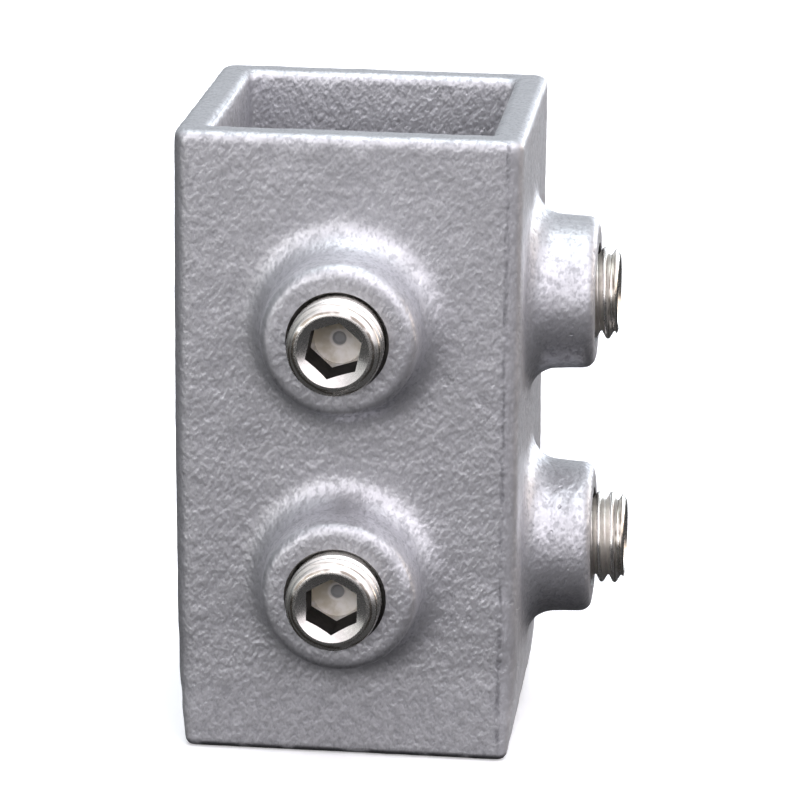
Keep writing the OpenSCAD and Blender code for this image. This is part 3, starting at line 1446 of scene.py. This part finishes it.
@dataclass(frozen=True)
class SoftDome:
    """Soft light from all round: a dim even dome with a few broad glows on it."""

    name: str = "studio_air"
    even: Triple = (0.46, 0.49, 0.515)
    glows: tuple[SoftGlow, ...] = (
        SoftGlow(30.0, 40.0, 90.0, (1.62, 1.50, 1.60)),
        SoftGlow(150.0, 0.0, 35.0, (4.7, 5.1, 5.5)),
        SoftGlow(120.0, 0.0, 35.0, (2.5, 1.95, 1.55)),
        SoftGlow(330.0, 0.0, 35.0, (2.5, 2.45, 2.4)),
        SoftGlow(0.0, 90.0, 35.0, (3.0, 3.4, 3.5)),
        SoftGlow(262.0, 5.0, 65.0, (-0.33, -0.35, -0.37)),
    )

    def world(self) -> bpy.types.World:
        """Builds the world that lights the studio.

        Returns:
            The world.
        """
        world = bpy.data.worlds.new(self.name)
        world.use_nodes = True
        bench = NodeBench(world.node_tree)
        toward = bench.add("TexCoord").outputs["Generated"]
        light = bench.add("CombineXYZ", dict(enumerate(self.even))).outputs[0]
        for glow in self.glows:
            light = self.add_glow(bench, toward, light, glow)
        air = bench.add("Background", {"Color": light, "Strength": 1.0})
        bench.add("OutputWorld", {"Surface": air.outputs[0]})
        return world

    @staticmethod
    def add_glow(bench: NodeBench, toward: Socket, light: Socket, glow: SoftGlow) -> Socket:
        """Adds one glow to the light that comes from each direction.

        Args:
            bench: the world's bench.
            toward: the direction that is looked in.
            light: the light so far.
            glow: the glow to add.

        Returns:
            The light with the glow.
        """
        middle = bearing(glow.azimuth, glow.elevation)
        cosine = bench.add("VectorMath", {0: toward, 1: middle}, operation="DOT_PRODUCT")
        angle = bench.math("ARCCOSINE", cosine.outputs["Value"])
        fade = bench.step(angle, math.radians(glow.spread), 0.0)
        return bench.vector("ADD", light, bench.scaled(glow.colour, fade))


@dataclass
class Studio:
    """A pale floor, light from a soft dome and one lamp, and the camera.

    The camera stands on a bearing from a point that lies off the sleeve's middle by aim.
    """

    azimuth: float = 5.905
    elevation: float = 15.829
    roll: float = 0.759
    distance: float = 628.1 * MM
    lens: float = 183.0
    sensor: float = 36.0
    near_clip: float = 10.0 * MM
    aim: Triple = (5.597 * MM, 0.0, 1.148 * MM)
    floor_radius: float = 4.0
    floor_sides: int = 128
    floor: FloorFinish = field(default_factory=FloorFinish)
    dome: SoftDome = field(default_factory=SoftDome)
    lights: tuple[SoftLight, ...] = (
        SoftLight("right_soft_light", (0.75, -0.55, 0.6), 0.3, 0.5, (1.0, 0.99, 0.97)),
    )

    def middle(self) -> Vector:
        """The middle of the sleeve."""
        low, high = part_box(SLEEVE_NODE)
        return Vector((0.0, 0.0, (low.z + high.z) / 2))

    def lay_floor(self) -> Piece:
        """Lays the floor under the object.

        Returns:
            The floor.
        """
        Workbench.clear()
        bpy.ops.mesh.primitive_circle_add(vertices=self.floor_sides, radius=self.floor_radius,
                                          fill_type="NGON", location=(0.0, 0.0, CAD_BOX[0].z))
        ground = bpy.context.object
        ground.name = "studio_floor"
        bpy.ops.object.transform_apply(location=True)
        self.floor.coat(ground)
        return ground

    def light(self) -> None:
        """Hangs the lights and sets the dim light that comes from all round."""
        for light in self.lights:
            light.hang(self.middle())
        bpy.context.scene.world = self.dome.world()
        bpy.context.scene.view_settings.view_transform = "Standard"

    def place_camera(self) -> Piece:
        """Places the camera on its bearing, with a slight roll.

        Returns:
            The camera.
        """
        back = bearing(self.azimuth, self.elevation)
        right = Vector((0.0, 0.0, 1.0)).cross(back).normalized()
        axes = Matrix((right, back.cross(right), back)).transposed()
        bpy.ops.object.camera_add()
        camera = bpy.context.object
        camera.name = "studio_camera"
        camera.data.sensor_width = self.sensor
        camera.data.lens = self.lens
        camera.data.clip_start = self.near_clip
        roll = Matrix.Rotation(math.radians(self.roll), 3, UP)
        place = self.middle() + Vector(self.aim) + back * self.distance
        camera.matrix_world = Matrix.Translation(place) @ (axes @ roll).to_4x4()
        bpy.context.scene.camera = camera
        return camera

    def set_up(self) -> None:
        """Sets up the whole studio."""
        self.place_camera()
        self.lay_floor()
        self.light()


def report(piece: Piece) -> None:
    """Works out a piece's triangles and its size in millimetres.

    Args:
        piece: a finished piece that rides on a body.
    """
    piece.data.calc_loop_triangles()
    size = " x ".join(f"{side / MM:.1f}" for side in piece.dimensions)


def main() -> None:
    """Builds the studio, the casting and the four screws, in that order."""
    logging.basicConfig(level=logging.INFO, format="%(name)s: %(message)s")
    Studio().set_up()
    screw = SetScrew()
    report(CastSleeve().build(screw.major))
    pattern = screw.model()
    for place in PLACES:
        report(screw.fit(pattern, place))
    bpy.data.objects.remove(pattern)


if __name__ == "__main__":
    main()
